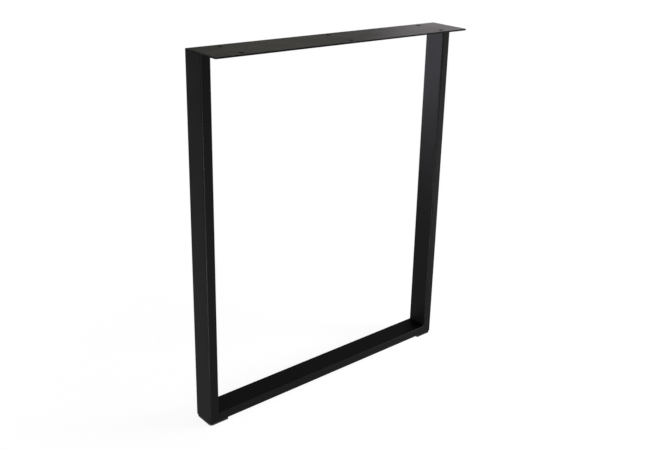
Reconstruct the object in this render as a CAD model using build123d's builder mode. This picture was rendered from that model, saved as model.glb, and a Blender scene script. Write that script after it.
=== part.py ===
from build123d import *
import os

# One end of a table: a U of rectangular steel tube welded under a flat top plate, on two foot pads.
# The frame stands on the floor with its origin in the middle of its footprint, below the plate's centre.
# X runs along the frame, +Z is up, and the plate overhangs the tubes towards -Y. Lengths are in mm.

# The whole frame
frame_width = 600.0  # over the outer faces of the two uprights
frame_height = 720.0  # from the floor to the top of the plate

# Rectangular tube, used on its narrow side: its wide side runs across the frame
tube_depth = 50.0
tube_face = 20.0
tube_wall = 2.0
tube_corner = 3.0  # outside corner radius
ground_corner = 2.5  # rounding left where the welds of the lower corners were ground flush

# Flat top plate and its six screw holes
plate_width = 95.0
plate_thickness = 3.0
plate_corner = 3.0
plate_edge = 0.5  # rounding of the coated edges
hole_radius = 5.0
hole_columns = 3
hole_rows = 2
hole_end_distance = 60.0  # from the plate's short edges
hole_side_distance = 15.0  # from the plate's long edges

# Fillet weld between each upright and the plate
weld_leg = 3.0
weld_crown = 0.4  # height of the bead's face over a straight one
weld_end_gap = 3.0  # bare tube left at each end of the bead

# Moulded foot pads, each held by two pegs pushed into the rail's lower wall
pad_length = 40.0
pad_thickness = 3.5
pad_inset = 0.5  # the pads stand back from the tube's faces
pad_corner = 6.0  # in plan, at the frame's outer end
pad_end_corner = 1.0  # in plan, at the square inner end
pad_edge = 0.5
peg_radius = 3.0
peg_reach = 4.0  # past the wall, into the hollow of the rail
peg_lead = 1.0
peg_end_distance = 10.0  # from the pad's short edges
peg_clearance = 0.05  # all round, in the hole

# Places that follow from the sizes
frame_end = frame_width / 2
plate_bottom = frame_height - plate_thickness
tube_back = plate_width / 2
tube_front = tube_back - tube_depth
tube_middle = tube_back - tube_depth / 2
rail_middle = pad_thickness + tube_face / 2
upright_middle = frame_end - tube_face / 2
hole_pitch_x = (frame_width - 2 * hole_end_distance) / (hole_columns - 1)
hole_pitch_y = (plate_width - 2 * hole_side_distance) / (hole_rows - 1)
pad_middle = frame_end - pad_inset - pad_length / 2
peg_pitch = pad_length - 2 * peg_end_distance

# The lower corners are mitred: the upright is above this plane and the rail is below it
left_mitre = Plane(origin=(-frame_end, 0, pad_thickness), x_dir=(0, 1, 0), z_dir=(-1, 0, 1))
right_mitre = Plane(origin=(frame_end, 0, pad_thickness), x_dir=(0, 1, 0), z_dir=(1, 0, 1))

# Outline of the welded tubes at the back, with the ground corners that the tubes are trimmed to
with BuildSketch(Plane.XZ.offset(-tube_back)) as tube_outline:
    with Locations((0, pad_thickness)):
        Rectangle(frame_width, plate_bottom - pad_thickness, align=(Align.CENTER, Align.MIN))
    fillet(tube_outline.vertices().group_by(Axis.Y)[0], ground_corner)


def tube_profile(width, height):
    """Draws the section of the tube in the open sketch."""
    RectangleRounded(width, height, tube_corner)
    inner_corner = tube_corner - tube_wall
    RectangleRounded(width - 2 * tube_wall, height - 2 * tube_wall, inner_corner, mode=Mode.SUBTRACT)


# Top plate, flush with the tubes at the back and at both ends
with BuildPart() as top_plate:
    with BuildSketch(Plane.XY.offset(plate_bottom)):
        RectangleRounded(frame_width, plate_width, plate_corner)
        with GridLocations(hole_pitch_x, hole_pitch_y, hole_columns, hole_rows):
            Circle(hole_radius, mode=Mode.SUBTRACT)
    extrude(amount=plate_thickness)
    flat_faces = top_plate.faces().filter_by(Axis.Z)
    fillet([edge for face in flat_faces for edge in face.outer_wire().edges()], plate_edge)

# Uprights, square at the top and mitred at the bottom
with BuildPart() as left_upright:
    with BuildSketch(Plane(origin=(-upright_middle, tube_middle, pad_thickness))):
        tube_profile(tube_face, tube_depth)
    extrude(amount=plate_bottom - pad_thickness)
    split(bisect_by=left_mitre, keep=Keep.TOP)
    extrude(tube_outline.sketch, amount=tube_depth, mode=Mode.INTERSECT)

with BuildPart() as right_upright:
    mirror(left_upright.part, about=Plane.YZ)

# Rail along the floor, mitred at both ends, with the peg holes in its lower wall
with BuildPart() as bottom_rail:
    with BuildSketch(Plane(origin=(-frame_end, tube_middle, rail_middle), x_dir=(0, 1, 0), z_dir=(1, 0, 0))):
        tube_profile(tube_depth, tube_face)
    extrude(amount=frame_width)
    split(bisect_by=left_mitre, keep=Keep.BOTTOM)
    split(bisect_by=right_mitre, keep=Keep.BOTTOM)
    extrude(tube_outline.sketch, amount=tube_depth, mode=Mode.INTERSECT)
    with BuildSketch(Plane.XY.offset(pad_thickness)):
        with Locations((-pad_middle, tube_middle), (pad_middle, tube_middle)):
            with GridLocations(peg_pitch, 1, 2, 1):
                Circle(peg_radius + peg_clearance)
    extrude(amount=tube_wall, mode=Mode.SUBTRACT)

# Foot pads under the two ends of the rail
with BuildPart() as left_foot_pad:
    with BuildSketch(Plane(origin=(-pad_middle, tube_middle, 0))) as pad_outline:
        Rectangle(pad_length, tube_depth - 2 * pad_inset)
        fillet(pad_outline.vertices().group_by(Axis.X)[0], pad_corner)
        fillet(pad_outline.vertices().group_by(Axis.X)[-1], pad_end_corner)
    extrude(amount=pad_thickness)
    fillet(left_foot_pad.faces().sort_by(Axis.Z)[0].edges(), pad_edge)
    with BuildSketch(Plane(origin=(-pad_middle, tube_middle, pad_thickness))):
        with GridLocations(peg_pitch, 1, 2, 1):
            Circle(peg_radius)
    extrude(amount=tube_wall + peg_reach)
    chamfer(left_foot_pad.faces().filter_by(Axis.Z).group_by(Axis.Z)[-1].edges(), peg_lead)

with BuildPart() as right_foot_pad:
    mirror(left_foot_pad.part, about=Plane.YZ)

# Weld bead under the plate: along the upright's inner face, round its corner and along its front face
with BuildPart() as left_top_weld:
    inner_face = -frame_end + tube_face
    bead_start = (inner_face, tube_back - weld_end_gap, plate_bottom)
    bead_turn = (inner_face, tube_front, plate_bottom)
    bead_stop = (-frame_end + weld_end_gap, tube_front, plate_bottom)
    with BuildLine():
        FilletPolyline(bead_start, bead_turn, bead_stop, radius=tube_corner)
    with BuildSketch(Plane(origin=bead_start, x_dir=(1, 0, 0), z_dir=(0, -1, 0))):
        with BuildLine():
            root, plate_toe, tube_toe = (0, 0), (weld_leg, 0), (0, -weld_leg)
            Line(tube_toe, root)
            Line(root, plate_toe)
            crown = weld_leg / 2 + weld_crown / 2**0.5
            ThreePointArc(plate_toe, (crown, -crown), tube_toe)
        make_face()
    sweep()

with BuildPart() as right_top_weld:
    mirror(left_top_weld.part, about=Plane.YZ)

nodes = {
    "top_plate": top_plate,
    "left_upright": left_upright,
    "right_upright": right_upright,
    "bottom_rail": bottom_rail,
    "left_foot_pad": left_foot_pad,
    "right_foot_pad": right_foot_pad,
    "left_top_weld": left_top_weld,
    "right_top_weld": right_top_weld,
}
os.makedirs("parts", exist_ok=True)
for node_name, builder in nodes.items():
    builder.part.label = node_name
    export_step(builder.part, f"parts/{node_name}.step")
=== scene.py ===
# A table's end frame: rectangular steel tube welded under a flat plate, coated satin black, on foot pads.
# Lengths are in metres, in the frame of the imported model: +X along the frame, +Y to its back, +Z up.
import bpy
import math
from mathutils import Matrix, Vector


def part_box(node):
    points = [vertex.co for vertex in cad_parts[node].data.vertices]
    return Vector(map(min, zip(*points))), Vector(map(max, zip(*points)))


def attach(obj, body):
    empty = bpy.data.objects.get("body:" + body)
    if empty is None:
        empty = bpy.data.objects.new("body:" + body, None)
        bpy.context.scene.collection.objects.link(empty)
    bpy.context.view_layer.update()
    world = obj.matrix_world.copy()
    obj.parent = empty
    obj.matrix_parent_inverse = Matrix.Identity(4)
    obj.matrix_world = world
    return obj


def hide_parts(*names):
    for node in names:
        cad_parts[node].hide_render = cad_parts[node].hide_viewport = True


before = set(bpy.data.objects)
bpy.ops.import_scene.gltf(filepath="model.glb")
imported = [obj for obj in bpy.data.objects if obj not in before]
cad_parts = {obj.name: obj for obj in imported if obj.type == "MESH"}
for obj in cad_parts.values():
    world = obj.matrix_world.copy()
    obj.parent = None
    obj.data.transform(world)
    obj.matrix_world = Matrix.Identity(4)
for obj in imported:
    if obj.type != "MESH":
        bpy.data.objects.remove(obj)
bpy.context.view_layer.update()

MM = 0.001

# Where the photograph was taken from
camera_place = (-1.0567, -1.2460, 0.9993)
camera_heading = math.radians(43.68)  # from +Y towards +X
camera_dip = math.radians(19.63)  # below the horizon
camera_tilt = math.radians(-2.62)  # about the line of sight
camera_lens = 48.43  # in millimetres
camera_sensor = 36  # its width, in millimetres
camera_shift = (-0.091, -0.05)  # in widths of the picture

# The powder coat
coat_deep = (0.0020, 0.0020, 0.0021)
coat_pale = (0.0034, 0.0033, 0.0034)
coat_gloss = 0.065
coat_roughness = (0.545, 0.575)
coat_patch = 0.045  # size of the slow drift of its roughness
coat_peel = 0.0022  # width of a wave of its orange peel
coat_peel_height = 14e-6
coat_grain = 0.0005
coat_grain_height = 5e-6

# The pads' plastic
plastic_deep = (0.010, 0.010, 0.010)
plastic_pale = (0.015, 0.015, 0.015)
plastic_gloss = 0.25
plastic_roughness = (0.60, 0.70)
plastic_patch = 0.014  # size of the slow drift of its roughness
plastic_grain = 0.0007
plastic_grain_height = 20e-6

# The weld beads, laid between each upright and the plate
weld_leg = 3.0 * MM
weld_crown = 0.4 * MM
weld_end_gap = 3.0 * MM
tube_corner = 3.0 * MM
bead_taper = 2.5 * MM  # length over which the bead's ends thin out
bead_end_size = 0.45  # what is left of the bead's size at its very ends
bead_step = 0.2 * MM
bead_sides = 14

# The ripples on the beads
ripple_pitch = 1.4 * MM
ripple_height = 0.15 * MM
ripple_bow = 0.7  # how far a ripple's middle runs ahead of its ends, in pitches
ripple_sharpness = 2.4  # higher for narrower valleys
ripple_level = 0.6  # the height on a ripple, 0 to 1, that leaves the bead's face where it is
ripple_fade = 0.6  # lower for ripples that reach further towards the bead's two toes
toe_scallop = 0.05  # share by which a ripple moves the toes in and out

# Unevenness along the beads: sine waves, whose lengths here are those of one radian
leg_drift = 0.03  # share of the bead's leg
leg_drift_length = 5.1 * MM
slow_drift = 0.35  # of the ripples' places, in pitches
slow_drift_length = 7.3 * MM
quick_drift = 0.2  # the same
quick_drift_length = 2.9 * MM
quick_drift_start = 1.0  # in radians

# The set
floor_radius = 7.0
backdrop_height = 2.2
round_steps = 96  # sides of the floor's and the backdrop's circle
shadow_reach = (0.38, 0.70)  # distances from the middle over which the shadow's share fades out
shadow_share = 0.30  # of the lamps' light that the floor shows, so that it keeps a shadow
floor_light = 0.36  # the lamps' light on it there, made up to white by its own glow
set_bounce = 0.35  # share of light that the floor and the backdrop throw back on the object
sky_strength = 0.22


def new_material(name):
    material = bpy.data.materials.new(name)
    material.use_nodes = True
    nodes = material.node_tree.nodes
    nodes.clear()
    return material, nodes, material.node_tree.links


def noise(nodes, links, place, size, detail):
    """Noise with features of about size, in metres."""
    node = nodes.new("ShaderNodeTexNoise")
    node.inputs["Scale"].default_value = 1 / size
    node.inputs["Detail"].default_value = detail
    links.new(place, node.inputs["Vector"])
    return node.outputs["Fac"]


def span(nodes, links, source, low, high, start=0.35, end=0.65):
    """The source's start to end, mapped to low to high. Most of a noise lies between 0.35 and 0.65."""
    node = nodes.new("ShaderNodeMapRange")
    node.inputs["From Min"].default_value = start
    node.inputs["From Max"].default_value = end
    node.inputs["To Min"].default_value = low
    node.inputs["To Max"].default_value = high
    links.new(source, node.inputs["Value"])
    return node.outputs["Result"]


def blend_colours(nodes, links, share, first, second):
    node = nodes.new("ShaderNodeMix")
    node.data_type = "RGBA"
    node.inputs[6].default_value = (*first, 1)
    node.inputs[7].default_value = (*second, 1)
    links.new(share, node.inputs[0])
    return node.outputs[2]


def bump(nodes, links, height, distance, under=None):
    node = nodes.new("ShaderNodeBump")
    node.inputs["Distance"].default_value = distance
    links.new(height, node.inputs["Height"])
    if under is not None:
        links.new(under, node.inputs["Normal"])
    return node.outputs["Normal"]


def surface(nodes, links, colour, roughness, normal, gloss):
    shader = nodes.new("ShaderNodeBsdfPrincipled")
    shader.inputs["Specular IOR Level"].default_value = gloss
    links.new(colour, shader.inputs["Base Color"])
    links.new(roughness, shader.inputs["Roughness"])
    links.new(normal, shader.inputs["Normal"])
    output = nodes.new("ShaderNodeOutputMaterial")
    links.new(shader.outputs["BSDF"], output.inputs["Surface"])


def powder_coat():
    material, nodes, links = new_material("satin_black_powder_coat")
    place = nodes.new("ShaderNodeTexCoord").outputs["Object"]
    drift = noise(nodes, links, place, coat_patch, 3)
    peel = noise(nodes, links, place, coat_peel, 1)
    grain = noise(nodes, links, place, coat_grain, 2)
    colour = blend_colours(nodes, links, span(nodes, links, grain, 0, 1), coat_deep, coat_pale)
    roughness = span(nodes, links, drift, *coat_roughness)
    normal = bump(nodes, links, peel, coat_peel_height)
    normal = bump(nodes, links, grain, coat_grain_height, normal)
    surface(nodes, links, colour, roughness, normal, coat_gloss)
    return material


def moulded_plastic():
    material, nodes, links = new_material("matte_black_plastic")
    place = nodes.new("ShaderNodeTexCoord").outputs["Object"]
    drift = noise(nodes, links, place, plastic_patch, 2)
    grain = noise(nodes, links, place, plastic_grain, 2)
    colour = blend_colours(nodes, links, span(nodes, links, grain, 0, 1), plastic_deep, plastic_pale)
    roughness = span(nodes, links, drift, *plastic_roughness)
    normal = bump(nodes, links, grain, plastic_grain_height)
    surface(nodes, links, colour, roughness, normal, plastic_gloss)
    return material


def seen_directly(nodes, links):
    """1 for rays from the camera, reflections and refractions, and 0 for light that the set throws back."""
    path = nodes.new("ShaderNodeLightPath")
    total = path.outputs["Is Camera Ray"]
    for name in ("Is Glossy Ray", "Is Transmission Ray"):
        node = nodes.new("ShaderNodeMath")
        node.operation = "MAXIMUM"
        links.new(total, node.inputs[0])
        links.new(path.outputs[name], node.inputs[1])
        total = node.outputs["Value"]
    return total


def white_set(name, keeps_shadow):
    """White where it is seen or reflected.

    With keeps_shadow, the lamps light a share of it near the object, so that a shadow shows there.
    """
    material, nodes, links = new_material(name)
    glow = nodes.new("ShaderNodeEmission")
    matte = nodes.new("ShaderNodeBsdfDiffuse")
    matte.inputs["Color"].default_value = (1, 1, 1, 1)
    bounce = nodes.new("ShaderNodeBsdfDiffuse")
    bounce.inputs["Color"].default_value = (set_bounce, set_bounce, set_bounce, 1)
    shown = glow.outputs["Emission"]
    if keeps_shadow:
        place = nodes.new("ShaderNodeTexCoord").outputs["Object"]
        length = nodes.new("ShaderNodeVectorMath")
        length.operation = "LENGTH"
        links.new(place, length.inputs[0])
        way = length.outputs["Value"]
        dimmed = 1 - shadow_share * floor_light
        links.new(span(nodes, links, way, dimmed, 1, *shadow_reach), glow.inputs["Strength"])
        lit = nodes.new("ShaderNodeMixShader")
        links.new(span(nodes, links, way, shadow_share, 0, *shadow_reach), lit.inputs["Fac"])
        links.new(matte.outputs["BSDF"], lit.inputs[2])
        both = nodes.new("ShaderNodeAddShader")
        links.new(glow.outputs["Emission"], both.inputs[0])
        links.new(lit.outputs["Shader"], both.inputs[1])
        shown = both.outputs["Shader"]
    choice = nodes.new("ShaderNodeMixShader")
    links.new(seen_directly(nodes, links), choice.inputs["Fac"])
    links.new(bounce.outputs["BSDF"], choice.inputs[1])
    links.new(shown, choice.inputs[2])
    output = nodes.new("ShaderNodeOutputMaterial")
    links.new(choice.outputs["Shader"], output.inputs["Surface"])
    return material


def mesh_object(name, points, faces, material, smooth=True):
    mesh = bpy.data.meshes.new(name)
    mesh.from_pydata(points, [], faces)
    mesh.polygons.foreach_set("use_smooth", [smooth] * len(mesh.polygons))
    mesh.materials.append(material)
    mesh.update()
    piece = bpy.data.objects.new(name, mesh)
    bpy.context.scene.collection.objects.link(piece)
    return piece


# The carried-over solids get their finish
coat = powder_coat()
plastic = moulded_plastic()
coated = ("top_plate", "left_upright", "right_upright", "bottom_rail", "left_top_weld", "right_top_weld")
for name in coated:
    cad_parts[name].data.materials[0] = coat
for name in ("left_foot_pad", "right_foot_pad"):
    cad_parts[name].data.materials[0] = plastic


# Weld beads
def bead_route(start, turn, stop, radius):
    """Gives the length of a route that rounds one corner, and a function that places a length along it."""
    before = (start - turn).normalized()
    after = (stop - turn).normalized()
    centre = turn + (before + after) * radius
    first = (start - turn).length - radius
    arc = radius * math.pi / 2
    last = (stop - turn).length - radius

    def at(way):
        """The point, and the outward direction there, away from the tube."""
        if way < first:
            return start - before * way, -after
        if way < first + arc:
            angle = (way - first) / radius
            outward = -after * math.cos(angle) - before * math.sin(angle)
            return centre + outward * radius, outward
        return turn + after * (radius + way - first - arc), -before

    return first + arc + last, at


def ripple(way, across):
    """Height of the bead's ripples, 0 to 1. Their sharp valleys bulge towards the far end of the route."""
    drift = slow_drift * math.sin(way / slow_drift_length)
    drift += quick_drift * math.sin(way / quick_drift_length + quick_drift_start)
    phase = way / ripple_pitch + drift + ripple_bow * across * across
    return 1 - abs(2 * (phase % 1) - 1) ** ripple_sharpness


def weld_bead(name, node, side):
    """A bead on the side -1 or 1, laid under the plate along the upright's inner face and front face."""
    tube_low, tube_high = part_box("right_upright")
    plate_bottom = tube_high.z
    inner_face, outer_face = tube_low.x, tube_high.x
    start = Vector((inner_face, tube_high.y - weld_end_gap, plate_bottom))
    turn = Vector((inner_face, tube_low.y, plate_bottom))
    stop = Vector((outer_face - weld_end_gap, tube_low.y, plate_bottom))
    length, at = bead_route(start, turn, stop, tube_corner)
    rings = round(length / bead_step)
    points = []
    for i in range(rings + 1):
        way = length * i / rings
        root, outward = at(way)
        from_end = min(way, length - way) / bead_taper
        size = 1
        if from_end < 1:
            size = bead_end_size + (1 - bead_end_size) * math.sqrt(1 - (1 - from_end) ** 2)
        leg = weld_leg * size * (1 + leg_drift * math.sin(way / leg_drift_length))
        ring = [root]
        for j in range(bead_sides + 1):
            across = 2 * j / bead_sides - 1
            middle = 1 - across * across
            height = ripple(way, across)
            wave = ripple_height * (height - ripple_level) * middle ** ripple_fade
            swell = (weld_crown * middle + wave) * size
            scallop = 1 + toe_scallop * (height - 0.5)
            out = leg * scallop * (1 - across) / 2 + swell / math.sqrt(2)
            down = leg * scallop * (1 + across) / 2 + swell / math.sqrt(2)
            ring.append(root + outward * out - Vector((0, 0, down)))
        points += [(side * p.x, p.y, p.z) for p in ring]
    count = bead_sides + 2
    faces = [
        (i * count + j, i * count + (j + 1) % count, (i + 1) * count + (j + 1) % count, (i + 1) * count + j)
        for i in range(rings) for j in range(count)
    ]
    faces.append(tuple(range(count))[::-1])
    faces.append(tuple(range(rings * count, (rings + 1) * count)))
    if side < 0:
        faces = [face[::-1] for face in faces]
    piece = mesh_object(name, points, faces, coat)
    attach(piece, "root")
    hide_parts(node)


weld_bead("left_weld_bead", "left_top_weld", -1)
weld_bead("right_weld_bead", "right_top_weld", 1)


# The floor and the backdrop round it
def floor_and_backdrop():
    steps = round_steps
    angles = [2 * math.pi * i / steps for i in range(steps)]
    low_ring = [(floor_radius * math.cos(angle), floor_radius * math.sin(angle), 0) for angle in angles]
    high_ring = [(x, y, backdrop_height) for x, y, z in low_ring]
    floor = mesh_object("floor", low_ring, [range(steps)], white_set("floor_white", True), False)
    faces = [(i, (i + 1) % steps, steps + (i + 1) % steps, steps + i) for i in range(steps)]
    backdrop = mesh_object("backdrop", low_ring + high_ring, faces, white_set("backdrop_white", False))


floor_and_backdrop()


# Light
def softbox(name, place, aim, size, power, spread=180, colour=(1, 1, 1)):
    """A soft rectangular lamp, unseen by the camera. A grid narrows its light to the spread, in degrees."""
    lamp = bpy.data.lights.new(name, "AREA")
    lamp.shape = "RECTANGLE"
    lamp.size, lamp.size_y = size
    lamp.energy = power
    lamp.color = colour
    lamp.spread = math.radians(spread)
    piece = bpy.data.objects.new(name, lamp)
    bpy.context.scene.collection.objects.link(piece)
    piece.location = place
    piece.rotation_euler = (Vector(aim) - Vector(place)).to_track_quat("-Z", "Y").to_euler()
    piece.visible_camera = False
    return piece


softbox("key_softbox", (-1.5, -1.35, 0.25), (0, 0, 0.4), (0.9, 0.5), 10)
# These two show only in the gloss, as thin bright lines on the tubes' corners
corner = softbox("corner_softbox", (-1.6, -1.3, 0.15), (0, 0, 0.3), (0.6, 0.25), 38)
corner.visible_diffuse = False
low_corner = softbox("low_corner_softbox", (-1.6, -1.3, 0.06), (0, 0, 0.2), (0.6, 0.10), 4.8, 30)
low_corner.visible_diffuse = False
softbox("right_softbox", (2.2, -0.3, 0.6), (0, 0, 0.4), (1.0, 1.0), 12)
softbox("rail_softbox", (1.3, -0.9, 0.30), (0.12, 0, 0.04), (0.6, 0.6), 2.8, 60)
# Two lamps for the plate, from behind at the right, and one for the right upright, from behind at the left
softbox("plate_right_softbox", (0.95, 0.55, 0.90), (0.14, 0, 0.72), (0.4, 0.4), 0.225, 50, (1, 0.92, 0.97))
softbox("plate_left_softbox", (0.7, 1.1, 1.15), (0.12, 0, 0.74), (0.6, 0.4), 0.07, 38, (1, 0.95, 0.78))
softbox(
    "right_upright_softbox", (-0.3, 0.62, 0.58), (0.28, 0.02, 0.64), (0.35, 0.35), 1.7, 60, (0.90, 0.87, 1)
)

world = bpy.data.worlds.new("studio")
bpy.context.scene.world = world
world.use_nodes = True
sky = world.node_tree.nodes["Background"]
sky.inputs["Color"].default_value = (1, 1, 1, 1)
sky.inputs["Strength"].default_value = sky_strength


# Camera
def photograph_camera():
    data = bpy.data.cameras.new("camera")
    data.sensor_width = camera_sensor
    data.lens = camera_lens
    data.shift_x, data.shift_y = camera_shift
    camera = bpy.data.objects.new("camera", data)
    bpy.context.scene.collection.objects.link(camera)
    ahead = Vector((
        math.sin(camera_heading) * math.cos(camera_dip),
        math.cos(camera_heading) * math.cos(camera_dip),
        -math.sin(camera_dip),
    ))
    right = Vector((math.cos(camera_heading), -math.sin(camera_heading), 0))
    down = ahead.cross(right)
    across = right * math.cos(camera_tilt) + down * math.sin(camera_tilt)
    upward = right * math.sin(camera_tilt) - down * math.cos(camera_tilt)
    turn = Matrix((across, upward, -ahead)).transposed().to_4x4()
    camera.matrix_world = Matrix.Translation(camera_place) @ turn
    bpy.context.scene.camera = camera


photograph_camera()
bpy.context.scene.view_settings.view_transform = "Standard"
